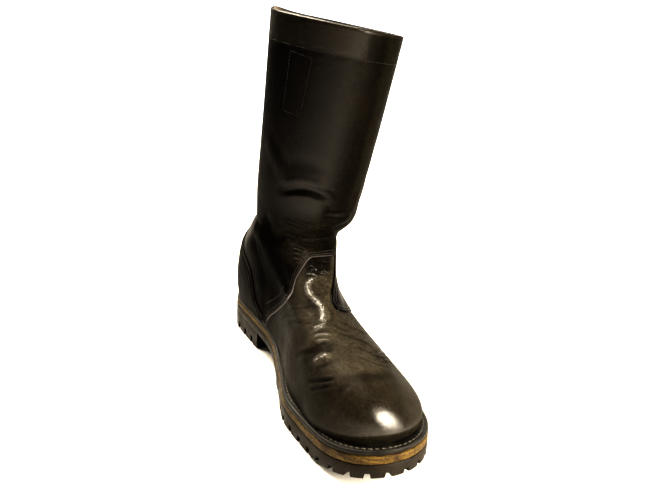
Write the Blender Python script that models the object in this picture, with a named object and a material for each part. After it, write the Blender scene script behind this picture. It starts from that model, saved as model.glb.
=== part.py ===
"""Leather pull-on boot for the left foot.

Sizes are in millimetres: x runs from the back of the heel to the toe, y to the outer side of the foot
and z up from the floor. MM turns them into metres where a mesh is made.
"""
import math

import bpy
import numpy as np

MM = 0.001

# Driving sizes
SOLE_LENGTH = 300.0
BALL_WIDTH = 98.0
INSTEP_HEIGHT = 88.0
HEEL_HEIGHT = 27.5
FOREFOOT_HEIGHT = 16.8
SHAFT_HEIGHT = 293.4
TOE_SPRING = 12.7
SPRING_START = 225.0
WALL = 2.2
GAP = 0.3

# Sole layers
WELT_THICK = 3.6
WELT_INSET = 0.8
MIDSOLE_THICK = 4.3
TOE_EXTRA = 2.2
EXTRA_START = 185.0
OUTSOLE_THICK = 6.5
INSOLE_THICK = 3.4
INSOLE_INSET = 2.2
HEEL_BREAST = 88.0
LUG_LENGTH = 9.6
LUG_NOTCH = 4.2
LUG_REACH = 0.26
LUG_START = 140.0
HEEL_NOTCH_DEPTH = 7.0

# Laps of the leather
SHAFT_STEP = 1.2
COUNTER_THICK = 1.4
COUNTER_GAP = 0.6
LOOP_THICK = 2.4

# How finely the upper is divided
COLUMNS_ROUND = 56
VAMP_ROWS = 12
SHAFT_ROWS = 16

# Plan of the sole
PLAN_COLUMNS = ("x", "axis", "half")
PLAN = {
    "back": (0, 1, 38),
    "heel": (35, 0.5, 38),
    "breast": (75, 2.2, 37.8),
    "waist": (115, 5, 37.5),
    "joint": (160, 2, 43),
    "ball": (205, -3.3, BALL_WIDTH / 2),
    "toe": (250, -5, 45),
    "tip": (SOLE_LENGTH, -10, 45),
}
HEEL_CAP = 40.0
TOE_CAP = 62.0

# Top of the midsole before the toe spring: place along the length, height
SEAT = {
    "back": (0, HEEL_HEIGHT),
    "breast": (85, HEEL_HEIGHT - 0.5),
    "waist": (115, 23.5),
    "joint": (150, FOREFOOT_HEIGHT + 0.7),
    "ball": (178, FOREFOOT_HEIGHT),
    "tip": (SOLE_LENGTH, FOREFOOT_HEIGHT),
}

# Middle line of the foot inside the upper: place along the length, sideways place
FOOT_AXIS = {"back": (0, 1), "heel": (45, 1), "waist": (115, 4), "ball": (200, -3), "toe": (250, -4.5),
             "tip": (292, -8)}

# Sections of the upper from the welt to the collar. Each runs from a front point to a back point and has
# half breadths at its rear, middle and fore part, rounded ends, a sideways sway and a sideways slope.
SECTION_COLUMNS = ("front_x", "front_z", "back_x", "back_z", "rear", "mid", "fore",
                   "cap_back", "cap_front", "sway_back", "sway_front", "cant")
SECTIONS = {
    "feather": (288, 30, 7, 30, 36, 35, 43.5, 40, 58, 0, 0, 0),
    "bulge": (290, 38.5, 3.3, 43, 36.5, 35, 42, 40, 58, 0, -2.5, 0),
    "toe_turn": (282, 52.5, 2.5, 60, 36, 30, 33, 42, 66, 0, -9, 0),
    "toe_top": (262, 63, 3.5, 73, 35, 25, 25.5, 44, 78, 0, -12, 0),
    "toe_end": (233, 69, 5, 83, 34, 24, 23, 46, 84, 0, -13, 0),
    "vamp": (203, 75, 7, 91, 33, 25.5, 21.5, 48, 84, 0, -11, 0),
    "instep": (168, INSTEP_HEIGHT, 8.5, 99, 31.5, 27.5, 23, 50, 74, 1, -7, 0),
    "tongue": (140, 106, 10.5, 107, 30, 31, 26, 52, 60, 2, 0.5, 0),
    "fold": (125, 116, 12.5, 114.5, 30.5, 33, 31.5, 54, 56, 6.5, 5.5, 0.01),
    "overhang": (139.5, 131.5, 9.3, 127, 34.5, 38.5, 37.8, 62, 66, 11, 11, 0.02),
    "shaft_low": (147.5, 155, 10.2, 152, 37.5, 40.5, 39.8, 66, 68, 12.5, 12.5, 0.04),
    "shaft_mid": (160, 212.5, 17.5, 218, 41.5, 44, 42.2, 70, 70, 17, 17, 0.08),
    "collar": (171.5, 281, 28.3, SHAFT_HEIGHT, 46.4, 48.5, 46.6, 72, 72, 21.8, 21.8, 0.115),
}
SECTION_TABLE = np.array(list(SECTIONS.values()), float)
TOP_SECTION = len(SECTIONS) - 1

# Lines where the shaft laps the vamp on each side: angle from the front in degrees, section number
INNER_LINE = {"front": (0, 7.0), "edge": (14, 6.98), "corner": (24, 6.82), "upper": (44, 6.13),
              "side": (63, 5.1), "lower": (74, 4.15), "waist": (88, 2.88), "low": (98, 1.85),
              "end": (106, 1.5), "back": (180, 1.5)}
OUTER_LINE = {"front": (0, 7.0), "edge": (14, 6.98), "corner": (19, 6.8), "drop": (23, 6.2),
              "turn": (28, 5.5), "sweep": (38, 4.95), "side": (56, 4.0), "lower": (74, 3.0),
              "waist": (88, 2.2), "end": (106, 1.5), "back": (180, 1.5)}
STEP_FADE = (94.0, 16.0)

# Upper edge of the counter, and the place of the pull loops
COUNTER_LINE = {"front": (112, 0.5), "rise": (118, 1.2), "turn": (123, 2.75), "side": (132, 4.0),
                "shoulder": (147, 5.3), "round": (162, 6.2), "back": (180, 6.7)}
COUNTER_START = 114.0
LOOP_SECTIONS = (11.0, 11.95)
LOOP_ANGLES = (50.0, 70.0)


def smooth(x):
    x = np.clip(x, 0, 1)
    return x * x * (3 - 2 * x)


def cap(x):
    """Quarter round from 0 at an end to 1 where the full breadth is reached."""
    x = np.clip(x, 0, 1)
    return np.sqrt(np.maximum(1 - (1 - x) ** 2, 0))


def curve(table, x, column=1):
    """Smooth curve through the rows of a table, never beyond two neighbouring rows."""
    rows = np.array(list(table.values()), float)
    xs = rows[:, 0]
    ys = rows[:, column]
    step = np.diff(xs)
    rise = np.diff(ys) / step
    slope = np.zeros(len(xs))
    total = rise[:-1] + rise[1:]
    same = rise[:-1] * rise[1:] > 0
    slope[1:-1] = np.where(same, 2 * rise[:-1] * rise[1:] / np.where(total == 0, 1, total), 0)
    slope[0] = rise[0]
    slope[-1] = rise[-1]
    x = np.clip(np.asarray(x, float), xs[0], xs[-1])
    i = np.clip(np.searchsorted(xs, x) - 1, 0, len(step) - 1)
    t = (x - xs[i]) / step[i]
    start = (1 + 2 * t) * (1 - t) ** 2 * ys[i] + t * (1 - t) ** 2 * step[i] * slope[i]
    end = t * t * (3 - 2 * t) * ys[i + 1] + t * t * (t - 1) * step[i] * slope[i + 1]
    return start + end


def section(s):
    """Values of the section columns at section number s, whole or between two rows."""
    s = np.clip(s, 0, TOP_SECTION)
    i = np.clip(np.floor(s).astype(int), 0, TOP_SECTION - 1)
    t = (s - i)[..., None]
    first = 2 * SECTION_TABLE[:1] - SECTION_TABLE[1:2]
    last = 2 * SECTION_TABLE[-1:] - SECTION_TABLE[-2:-1]
    rows = np.concatenate([first, SECTION_TABLE, last])
    a, b, c, d = rows[i], rows[i + 1], rows[i + 2], rows[i + 3]
    value = b + 0.5 * t * (c - a + t * (2 * a - 5 * b + 4 * c - d + t * (3 * b - a - 3 * c + d)))
    return dict(zip(SECTION_COLUMNS, np.moveaxis(value, -1, 0)))


def spring(x):
    return TOE_SPRING * np.maximum((x - SPRING_START) / (SOLE_LENGTH - SPRING_START), 0) ** 2


def midsole_top(x):
    return curve(SEAT, x) + spring(x)


def midsole_base(x):
    """Lower face of the midsole, which grows thicker towards the toe."""
    grown = TOE_EXTRA * smooth((x - EXTRA_START) / (SOLE_LENGTH - EXTRA_START))
    return midsole_top(x) - MIDSOLE_THICK - grown


def feather_height(x):
    """Lower edge of the upper, just clear of the welt."""
    return midsole_top(x) + 2 * GAP + WELT_THICK


def surface(s, angle):
    """Outer face of the upper at section number s and angle, 0 at the front and a half turn at the back."""
    s, angle = np.broadcast_arrays(np.asarray(s, float), np.asarray(angle, float))
    v = section(s)
    along = 0.5 + 0.5 * np.cos(angle)
    x = v["back_x"] + along * (v["front_x"] - v["back_x"])
    breadth = v["rear"] + (v["mid"] - v["rear"]) * smooth((along - 0.12) / 0.33)
    breadth = breadth + (v["fore"] - v["mid"]) * smooth((along - 0.45) / 0.27)
    half = breadth * cap((x - v["back_x"]) / v["cap_back"]) * cap((v["front_x"] - x) / v["cap_front"])
    side = half * np.sign(np.sin(angle))
    foot = 1 - smooth((s - 7) / 3)
    middle = curve(FOOT_AXIS, x) * foot + v["sway_back"] + along * (v["sway_front"] - v["sway_back"])
    level = v["back_z"] + along * (v["front_z"] - v["back_z"])
    base = SECTIONS["feather"][1]
    z = level + (feather_height(x) - base) * (1 - smooth(s / 2.6)) - v["cant"] * side
    return np.stack([x, middle + side, z], -1)


def shell(s, angle, offset):
    """Point at a distance from the upper's outer face, along its normal."""
    d = 1e-3
    across = surface(s, angle + d) - surface(s, angle - d)
    up = surface(np.minimum(s + d, TOP_SECTION), angle) - surface(np.maximum(s - d, 0), angle)
    normal = np.cross(across, up)
    normal = normal / np.linalg.norm(normal, axis=-1, keepdims=True)
    return surface(s, angle) + normal * np.asarray(offset)[..., None]


def plan(x):
    """Middle line and half breadth of the sole's outline at x."""
    half = curve(PLAN, x, PLAN_COLUMNS.index("half"))
    half = half * cap(x / HEEL_CAP) * cap((SOLE_LENGTH - x) / TOE_CAP)
    return curve(PLAN, x, PLAN_COLUMNS.index("axis")), half


def sole_edge(angle):
    """Outline of the sole at an angle, counted as on the upper."""
    x = SOLE_LENGTH * (0.5 + 0.5 * np.cos(angle))
    middle, half = plan(x)
    return np.stack([x, middle + np.sign(np.sin(angle)) * half], -1)


def side_line(side):
    """Fine line of the sole's edge from toe tip to heel back on one side."""
    return sole_edge(side * np.linspace(0, math.pi, 400))


def whole_turn(count):
    return np.arange(count) * 2 * math.pi / count


def at_share(line, share):
    """Points at shares of a line's length."""
    run = np.concatenate([[0], np.cumsum(np.linalg.norm(np.diff(line, axis=0), axis=1))])
    at = np.asarray(share) * run[-1]
    return np.stack([np.interp(at, run, line[:, k]) for k in (0, 1)], -1)


def outline(shares):
    """Closed outline: outer side from toe to heel, then inner side from heel to toe."""
    outer = at_share(side_line(1), shares)
    inner = at_share(side_line(-1), shares[1:-1])
    return np.concatenate([outer, inner[::-1]])


def inset(loop, distance):
    """The loop moved inwards, square to its own edge."""
    along = np.roll(loop, -1, axis=0) - np.roll(loop, 1, axis=0)
    along = along / np.linalg.norm(along, axis=1, keepdims=True)
    inward = np.stack([-along[:, 1], along[:, 0]], -1)
    middle = np.stack([loop[:, 0], plan(loop[:, 0])[0]], -1)
    facing = np.sign(np.sum(inward * (middle - loop), axis=1))
    sign = 1 if np.sum(facing) >= 0 else -1
    return loop + inward * sign * distance


def add_object(name, points, faces, colour, roughness):
    """One closed body with its own material, shaded smooth except over sharp edges."""
    mesh = bpy.data.meshes.new(name)
    mesh.from_pydata([tuple(p * MM) for p in points], [], faces)
    mesh.update()
    obj = bpy.data.objects.new(name, mesh)
    bpy.context.scene.collection.objects.link(obj)
    material = bpy.data.materials.new(name)
    material.use_nodes = True
    shader = material.node_tree.nodes["Principled BSDF"]
    shader.inputs["Base Color"].default_value = (*colour, 1)
    shader.inputs["Roughness"].default_value = roughness
    mesh.materials.append(material)
    mesh.shade_smooth()
    mesh.set_sharp_from_angle(angle=math.radians(35))
    return obj


def strip(first, second, closed=True):
    """Quads between two rows of point numbers."""
    count = len(first) if closed else len(first) - 1
    faces = []
    for j in range(count):
        k = (j + 1) % len(first)
        faces.append((first[j], first[k], second[k], second[j]))
    return faces


def sheet(outer, inner, closed):
    """Points and faces of a wall between two grids of rows, open at its first and last row."""
    points = np.concatenate([outer.reshape(-1, 3), inner.reshape(-1, 3)])
    across = outer.shape[1]
    out_ids = np.arange(outer.shape[0] * across).reshape(outer.shape[:2])
    in_ids = out_ids.size + np.arange(inner.shape[0] * across).reshape(inner.shape[:2])
    faces = []
    for r in range(outer.shape[0] - 1):
        faces += strip(out_ids[r], out_ids[r + 1], closed)
    for r in range(inner.shape[0] - 1):
        faces += strip(in_ids[r + 1], in_ids[r], closed)
    faces += strip(in_ids[0], out_ids[0], closed)
    faces += strip(out_ids[-1], in_ids[-1], closed)
    if not closed:
        for r in range(outer.shape[0] - 1):
            faces.append((out_ids[r, 0], out_ids[r + 1, 0], in_ids[r + 1, 0], in_ids[r, 0]))
            faces.append((in_ids[r, -1], in_ids[r + 1, -1], out_ids[r + 1, -1], out_ids[r, -1]))
    return points, [tuple(int(i) for i in face) for face in faces]


def make_upper():
    """Vamp and shaft in one wall, with a step where the shaft laps the vamp."""
    angle = whole_turn(COLUMNS_ROUND)
    turn = np.degrees(np.minimum(angle, 2 * math.pi - angle))
    line = np.where(angle < math.pi, curve(OUTER_LINE, turn), curve(INNER_LINE, turn))
    step = SHAFT_STEP * (1 - smooth((turn - STEP_FADE[0]) / STEP_FADE[1]))
    vamp = [line * k / VAMP_ROWS for k in range(VAMP_ROWS + 1)]
    lap = line + 0.05
    shaft = [lap + (TOP_SECTION - lap) * k / SHAFT_ROWS for k in range(SHAFT_ROWS + 1)]
    flat = np.zeros(COLUMNS_ROUND)
    outer = np.stack([shell(s, angle, flat) for s in vamp] + [shell(s, angle, step) for s in shaft])
    inner = np.stack([shell(s, angle, flat - WALL) for s in vamp + shaft[1:]])
    inner[0, :, 2] = outer[0, :, 2]
    inner[-1, :, 2] = outer[-1, :, 2]
    points, faces = sheet(outer, inner, True)
    add_object("upper", points, faces, (0.02, 0.017, 0.015), 0.35)


def make_counter():
    """Panel over the heel, between the welt and a curved upper edge."""
    column = np.arange(math.ceil(COUNTER_START * COLUMNS_ROUND / 360), COLUMNS_ROUND)
    turn = column * 360 / COLUMNS_ROUND
    turn = turn[turn <= 360 - COUNTER_START]
    angle = np.radians(turn)
    top = curve(COUNTER_LINE, np.minimum(turn, 360 - turn))
    rows = [0.12 + (top - 0.12) * k / 10 for k in range(11)]
    low = np.full(len(turn), COUNTER_GAP)
    outer = np.stack([shell(s, angle, low + COUNTER_THICK) for s in rows])
    inner = np.stack([shell(s, angle, low) for s in rows])
    points, faces = sheet(outer, inner, False)
    add_object("counter", points, faces, (0.02, 0.017, 0.015), 0.35)


def make_pull_loop(name, side):
    """Strap that lies on the inner face of the shaft, below the collar."""
    angle = side * np.radians(np.linspace(*LOOP_ANGLES, 4))[::side]
    rows = [np.full(4, s) for s in np.linspace(*LOOP_SECTIONS, 7)]
    near = np.full(4, -WALL - COUNTER_GAP)
    outer = np.stack([shell(s, angle, near) for s in rows])
    inner = np.stack([shell(s, angle, near - LOOP_THICK) for s in rows])
    points, faces = sheet(outer, inner, False)
    add_object(name, points, faces, (0.025, 0.02, 0.017), 0.5)


def plate(name, loop, spine, top, bottom, colour, roughness):
    """Closed layer of the sole: its outline, the middle line its faces meet on, and two height functions."""
    count = len(loop)
    points = []
    faces = []
    for height in (top, bottom):
        points += [(x, y, float(height(x))) for x, y in loop]
        points += [(x, y, float(height(x))) for x, y in spine]
    across = count + len(spine)
    for j in range(count):
        k = (j + 1) % count
        near = min(max(min(j, count - j) - 1, 0), len(spine) - 1)
        far = min(max(min(k, count - k) - 1, 0), len(spine) - 1)
        upper = [j, k, count + far, count + near]
        upper = [p for n, p in enumerate(upper) if p != upper[n - 1]]
        faces.append(tuple(upper))
        faces.append(tuple(across + p for p in reversed(upper)))
        faces.append((k, j, across + j, across + k))
    add_object(name, np.array(points), faces, colour, roughness)


def middle_line(loop):
    """Points between the facing places of a closed outline, with its two ends left out."""
    half = len(loop) // 2
    return (loop[1:half] + loop[:half:-1]) / 2


def make_midsole():
    loop = inset(sole_edge(whole_turn(COLUMNS_ROUND)), 0.3)
    plate("midsole", loop, middle_line(loop), midsole_top, midsole_base, (0.36, 0.2, 0.09), 0.55)


def upper_hollow():
    """Inner edge of the upper where it meets the welt."""
    angle = whole_turn(COLUMNS_ROUND)
    return shell(np.zeros(COLUMNS_ROUND), angle, np.full(COLUMNS_ROUND, -WALL))[:, :2]


def make_insole():
    loop = inset(upper_hollow(), INSOLE_INSET)
    plate("insole", loop, middle_line(loop), lambda x: feather_height(x) + INSOLE_THICK,
          lambda x: midsole_top(x) + GAP, (0.42, 0.3, 0.19), 0.7)


def make_welt():
    """Strip round the edge that the upper stands on."""
    outer = inset(sole_edge(whole_turn(COLUMNS_ROUND)), WELT_INSET)
    inner = inset(upper_hollow(), WELT_INSET)
    rings = []
    for loop, lift in ((outer, GAP), (outer, GAP + WELT_THICK), (inner, GAP + WELT_THICK), (inner, GAP)):
        rings.append(np.column_stack([loop, midsole_top(loop[:, 0]) + lift]))
    points = np.concatenate(rings)
    ids = np.arange(len(points)).reshape(4, -1)
    faces = []
    for r in range(4):
        faces += strip(ids[r], ids[(r + 1) % 4])
    add_object("welt", points, [tuple(int(i) for i in f) for f in faces], (0.02, 0.018, 0.017), 0.6)


def lugged(name, loop, rings, inner_of, lugs, heights, colour):
    """Sole piece with lugs: rings of cells from its edge inwards, each cell at lug or base level.

    inner_of gives each edge point the number of its point on the innermost ring, and heights holds the
    functions for lug level, base level and top.
    """
    count = len(loop)
    depth = len(rings) - 1
    numbers = {}
    points = []
    faces = []

    def vertex(j, r, level):
        j = j % count
        key = (inner_of[j], r, level) if r == depth else (j, r, level)
        if key not in numbers:
            x, y = rings[r][inner_of[j]] if r == depth else rings[r][j]
            numbers[key] = len(points)
            points.append((x, y, float(heights[level](x))))
        return numbers[key]

    def face(*corners):
        ring = [vertex(*c) for c in corners]
        ring = [p for n, p in enumerate(ring) if p != ring[n - 1]]
        if len(ring) > 2:
            faces.append(tuple(ring))

    def wall(a, b, low, high):
        face((*b, low), (*a, low), (*a, high), (*b, high))

    for j in range(count):
        k = j + 1
        wall((k, 0), (j, 0), "base", "top")
        face((j, 0, "top"), (k, 0, "top"), (k, depth, "top"), (j, depth, "top"))
        if lugs[j][0]:
            wall((k, 0), (j, 0), "lug", "base")
        for r in range(depth):
            level = "lug" if lugs[j][r] else "base"
            face((j, r, level), (j, r + 1, level), (k, r + 1, level), (k, r, level))
            if not lugs[j][r]:
                continue
            if r + 1 < depth and not lugs[j][r + 1]:
                wall((j, r + 1), (k, r + 1), "lug", "base")
            if r > 0 and not lugs[j][r - 1]:
                wall((k, r), (j, r), "lug", "base")
            if not lugs[k % count][r]:
                wall((k, r + 1), (k, r), "lug", "base")
            if not lugs[j - 1][r]:
                wall((j, r), (j, r + 1), "lug", "base")
    add_object(name, np.array(points), faces, colour, 0.75)


def between(first, second, share):
    return first + (second - first) * share


def make_outsole():
    """Full-length rubber sole with a ring of lugs round the forefoot and a second row inside it."""
    line = side_line(1)
    length = float(np.sum(np.linalg.norm(np.diff(line, axis=0), axis=1)))
    ends = [0.0]
    place = LUG_LENGTH / 2
    while at_share(line, [place / length])[0, 0] > LUG_START:
        ends += [place, place + LUG_NOTCH]
        place += LUG_NOTCH + LUG_LENGTH
    rest = np.linspace(ends[-1] + 8, length, 15)
    shares = np.concatenate([ends, rest]) / length
    loop = outline(shares)
    half = len(loop) // 2
    lug_cells = len(ends) - 1
    numbers = [min(max(min(j, 2 * half - j), 5), half - 2) for j in range(2 * half)]
    facing = [(loop[j] + loop[2 * half - j]) / 2 if 0 < j < half else loop[j] for j in range(half + 1)]
    spine = np.array([facing[n] for n in numbers])
    rings = [loop, between(loop, spine, LUG_REACH), between(loop, spine, LUG_REACH + 0.16),
             between(loop, spine, 0.8), np.array(facing)]
    lugs = []
    for j in range(2 * half):
        cell = min(j, 2 * half - 1 - j)
        edge = cell < lug_cells and cell % 2 == 0
        inner = 4 < cell < lug_cells - 2 and cell % 4 in (0, 1, 2)
        lugs.append((edge, False, inner, False))

    def top(x):
        return midsole_base(x) - GAP

    heights = {"lug": spring, "base": lambda x: top(x) - OUTSOLE_THICK, "top": top}
    lugged("outsole", loop, rings, numbers, lugs, heights, (0.022, 0.021, 0.02))


def make_heel():
    """Rubber heel block with notched edge and a straight breast."""
    spread = np.linspace(0, 1, 2001)
    outer = at_share(side_line(1), spread)
    inner = at_share(side_line(-1), spread)
    arc = np.concatenate([outer[outer[:, 0] < HEEL_BREAST], inner[inner[:, 0] < HEEL_BREAST][::-1][1:]])
    length = float(np.sum(np.linalg.norm(np.diff(arc, axis=0), axis=1)))
    pairs = 13
    unit = length / (pairs + LUG_LENGTH / (LUG_LENGTH + LUG_NOTCH))
    lug = unit * LUG_LENGTH / (LUG_LENGTH + LUG_NOTCH)
    places = []
    for n in range(pairs + 1):
        places += [n * unit, n * unit + lug]
    places[-1] = length
    loop = at_share(arc, np.array(places) / length)
    count = len(loop)
    centre = np.array([[HEEL_BREAST * 0.5, 1.5]])
    rings = [loop, between(loop, centre, 0.34), centre]
    lugs = [(j % 2 == 0 or j == count - 1, True) for j in range(count)]

    def top(x):
        return midsole_base(x) - OUTSOLE_THICK - 2 * GAP

    heights = {"lug": lambda x: 0.0, "base": lambda x: HEEL_NOTCH_DEPTH, "top": top}
    lugged("heel", loop, rings, [0] * count, lugs, heights, (0.022, 0.021, 0.02))


def stand_on_origin():
    """Move every mesh so that the middle of the whole boot's foot is at the origin."""
    corners = []
    for obj in bpy.data.objects:
        corners += [v.co.copy() for v in obj.data.vertices]
    low = [min(c[k] for c in corners) for k in range(3)]
    high = [max(c[k] for c in corners) for k in range(3)]
    for obj in bpy.data.objects:
        for v in obj.data.vertices:
            v.co.x -= (low[0] + high[0]) / 2
            v.co.y -= (low[1] + high[1]) / 2
            v.co.z -= low[2]


for old in list(bpy.data.objects):
    bpy.data.objects.remove(old, do_unlink=True)
make_upper()
make_counter()
make_pull_loop("pull_loop_medial", -1)
make_pull_loop("pull_loop_lateral", 1)
make_insole()
make_welt()
make_midsole()
make_outsole()
make_heel()
stand_on_origin()
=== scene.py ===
"""Looks of the leather pull-on boot: creased leather, stitched seams, layered sole and studio light.

Sizes are in millimetres in the boot's own frame: x from the back of the heel to the toe, y to the outer
side of the foot, z up from the floor. place() moves them into the loaded frame, in metres.
"""
import math

import bmesh
import bpy
import numpy as np
from mathutils import Matrix, Vector


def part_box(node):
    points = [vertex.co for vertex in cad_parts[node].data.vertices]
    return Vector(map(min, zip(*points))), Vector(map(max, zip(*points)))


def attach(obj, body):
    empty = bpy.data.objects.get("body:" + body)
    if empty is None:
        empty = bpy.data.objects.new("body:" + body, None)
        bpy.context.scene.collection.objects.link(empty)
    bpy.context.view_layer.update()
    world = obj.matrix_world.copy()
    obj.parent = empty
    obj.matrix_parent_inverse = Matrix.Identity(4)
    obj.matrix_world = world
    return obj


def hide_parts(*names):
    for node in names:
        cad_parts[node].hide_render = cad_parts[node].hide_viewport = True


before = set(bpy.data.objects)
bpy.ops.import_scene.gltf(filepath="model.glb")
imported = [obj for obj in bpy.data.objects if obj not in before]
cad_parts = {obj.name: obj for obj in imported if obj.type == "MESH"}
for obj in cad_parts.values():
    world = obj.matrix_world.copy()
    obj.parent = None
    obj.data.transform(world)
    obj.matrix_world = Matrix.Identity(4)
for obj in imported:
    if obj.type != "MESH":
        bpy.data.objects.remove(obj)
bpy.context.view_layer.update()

MM = 0.001

# Driving sizes, as in the solids
SOLE_LENGTH = 300.0
BALL_WIDTH = 98.0
INSTEP_HEIGHT = 88.0
HEEL_HEIGHT = 27.5
FOREFOOT_HEIGHT = 16.8
SHAFT_HEIGHT = 293.4
TOE_SPRING = 12.7
SPRING_START = 225.0
WALL = 2.2
GAP = 0.3
WELT_THICK = 3.6
WELT_INSET = 0.8
MIDSOLE_THICK = 4.3
TOE_EXTRA = 2.2
EXTRA_START = 185.0
OUTSOLE_THICK = 6.5
INSOLE_THICK = 3.4
INSOLE_INSET = 2.2
HEEL_BREAST = 88.0
HEEL_NOTCH_DEPTH = 7.0
HEEL_PAIRS = 13
LUG_LENGTH = 9.6
LUG_NOTCH = 4.2
LUG_REACH = 0.26
LUG_START = 140.0
SHAFT_STEP = 1.2
COUNTER_THICK = 1.4
COUNTER_GAP = 0.6
LOOP_THICK = 2.4

# Plan of the sole
PLAN_COLUMNS = ("x", "axis", "half")
PLAN = {
    "back": (0, 1, 38),
    "heel": (35, 0.5, 38),
    "breast": (75, 2.2, 37.8),
    "waist": (115, 5, 37.5),
    "joint": (160, 2, 43),
    "ball": (205, -3.3, BALL_WIDTH / 2),
    "toe": (250, -5, 45),
    "tip": (SOLE_LENGTH, -10, 45),
}
HEEL_CAP = 40.0
TOE_CAP = 62.0

# Top of the midsole before the toe spring: place along the length, height
SEAT = {
    "back": (0, HEEL_HEIGHT),
    "breast": (85, HEEL_HEIGHT - 0.5),
    "waist": (115, 23.5),
    "joint": (150, FOREFOOT_HEIGHT + 0.7),
    "ball": (178, FOREFOOT_HEIGHT),
    "tip": (SOLE_LENGTH, FOREFOOT_HEIGHT),
}

# Middle line of the foot inside the upper: place along the length, sideways place
FOOT_AXIS = {"back": (0, 1), "heel": (45, 1), "waist": (115, 4), "ball": (200, -3), "toe": (250, -4.5),
             "tip": (292, -8)}

# Sections of the upper from the welt to the collar
SECTION_COLUMNS = ("front_x", "front_z", "back_x", "back_z", "rear", "mid", "fore",
                   "cap_back", "cap_front", "sway_back", "sway_front", "cant")
SECTIONS = {
    "feather": (288, 30, 7, 30, 36, 35, 43.5, 40, 58, 0, 0, 0),
    "bulge": (290, 38.5, 3.3, 43, 36.5, 35, 42, 40, 58, 0, -2.5, 0),
    "toe_turn": (282, 52.5, 2.5, 60, 36, 30, 33, 42, 66, 0, -9, 0),
    "toe_top": (262, 63, 3.5, 73, 35, 25, 25.5, 44, 78, 0, -12, 0),
    "toe_end": (233, 69, 5, 83, 34, 24, 23, 46, 84, 0, -13, 0),
    "vamp": (203, 75, 7, 91, 33, 25.5, 21.5, 48, 84, 0, -11, 0),
    "instep": (168, INSTEP_HEIGHT, 8.5, 99, 31.5, 27.5, 23, 50, 74, 1, -7, 0),
    "tongue": (140, 106, 10.5, 107, 30, 31, 26, 52, 60, 2, 0.5, 0),
    "fold": (125, 116, 12.5, 114.5, 30.5, 33, 31.5, 54, 56, 6.5, 5.5, 0.01),
    "overhang": (139.5, 131.5, 9.3, 127, 34.5, 38.5, 37.8, 62, 66, 11, 11, 0.02),
    "shaft_low": (147.5, 155, 10.2, 152, 37.5, 40.5, 39.8, 66, 68, 12.5, 12.5, 0.04),
    "shaft_mid": (160, 212.5, 17.5, 218, 41.5, 44, 42.2, 70, 70, 17, 17, 0.08),
    "collar": (171.5, 281, 28.3, SHAFT_HEIGHT, 46.4, 48.5, 46.6, 72, 72, 21.8, 21.8, 0.115),
}
SECTION_TABLE = np.array(list(SECTIONS.values()), float)
TOP_SECTION = len(SECTIONS) - 1
# Soft rise of the collar at the back of the inner side
RISE_ANGLE = -138.0
RISE_REACH = 26.0
RISE_HEIGHT = 2.0
# Blends of the upper's form, 0 at the first place and 1 at the second: share of the length, section number
REAR_BLEND = (0.12, 0.45)
FORE_BLEND = (0.45, 0.72)
FOOT_BLEND = (10, 7)
WELT_BLEND = (2.6, 0)

# Lower edge of the shaft where it laps the vamp, from the inner side round the front to the outer side:
# column of the shaft that starts there, its angle on the edge, section number
SHAFT_EDGE = {
    "inner_back": (-180, -180, 0), "inner_welt": (-109, -109, 0), "inner_foot": (-107, -107, 0.56),
    "inner_end": (-103.5, -103.5, 1.2), "inner_low": (-97, -97, 1.88), "inner_waist": (-91, -91, 2.52),
    "inner_rise": (-85, -85, 3.19), "inner_lower": (-75.5, -75.5, 4.0), "inner_side": (-67, -67, 4.79),
    "inner_middle": (-56, -56, 5.5), "inner_upper": (-44, -44, 6.13), "inner_turn": (-33.5, -33.5, 6.51),
    "inner_corner": (-26, -26, 6.76), "inner_edge": (-17, -17, 6.93), "front": (0, 0, 6.97),
    "outer_edge": (14, 14, 6.93),
    "outer_corner": (32, 30, 6.8), "outer_turn": (44, 37.5, 6.5), "outer_hollow": (50, 30, 6.15),
    "bulge_upper": (55, 15.5, 5.85), "bulge": (59, 11, 5.65), "bulge_lower": (63, 16, 5.4),
    "outer_sweep": (69, 36, 4.93), "outer_side": (76, 58, 3.95), "outer_lower": (84, 74, 2.95),
    "outer_waist": (93, 89, 2.05), "outer_end": (104, 104, 0.95), "outer_welt": (110, 110, 0),
    "outer_back": (180, 180, 0),
}
EDGE_ANGLE, EDGE_SECTION = 1, 2
# Share of the shaft's height over which its columns fan out from the edge
FAN_SHARE = 0.2

# Upper edge of the vamp under the shaft, and upper edge of the counter: angle, section number
VAMP_TOP = {
    "inner_end": (-112, 0.1), "inner_low": (-98, 1.95), "inner_waist": (-88, 3.05),
    "inner_lower": (-74, 4.35), "inner_side": (-63, 5.3), "inner_upper": (-44, 6.3),
    "inner_corner": (-26, 6.95), "front": (0, 7.1),
    "outer_corner": (42, 6.95), "outer_side": (60, 4.4), "outer_lower": (76, 3.3), "outer_waist": (91, 2.4),
    "outer_low": (104, 1.1), "outer_end": (112, 0.1),
}
VAMP_END = 112.0
# Angles where the shaft starts to stand off the vamp, and where it stands off in full
STEP_FADE = (110.0, 102.0)
COUNTER_LINE = {"front": (112, 0.5), "rise": (118, 1.2), "turn": (123, 2.75), "side": (132, 4.0),
                "shoulder": (147, 5.3), "round": (162, 6.2), "back": (180, 6.7)}
COUNTER_START = 112.0
COUNTER_FOOT = 0.1
LOOP_SECTIONS = (11.0, 11.95)
LOOP_ANGLES = (50.0, 70.0)
LOOP_SINK = 0.2
LINING_GAP = 0.02
THREAD_SINK = 0.14
WELT_THREAD_SINK = 0.15

# Creases of the leather: three places on the surface as section number and angle, then half width
# and depth in millimetres. A negative depth is a ridge.
CREASE_COLUMNS = ("s_a", "angle_a", "s_b", "angle_b", "s_c", "angle_c", "width", "depth")
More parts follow.
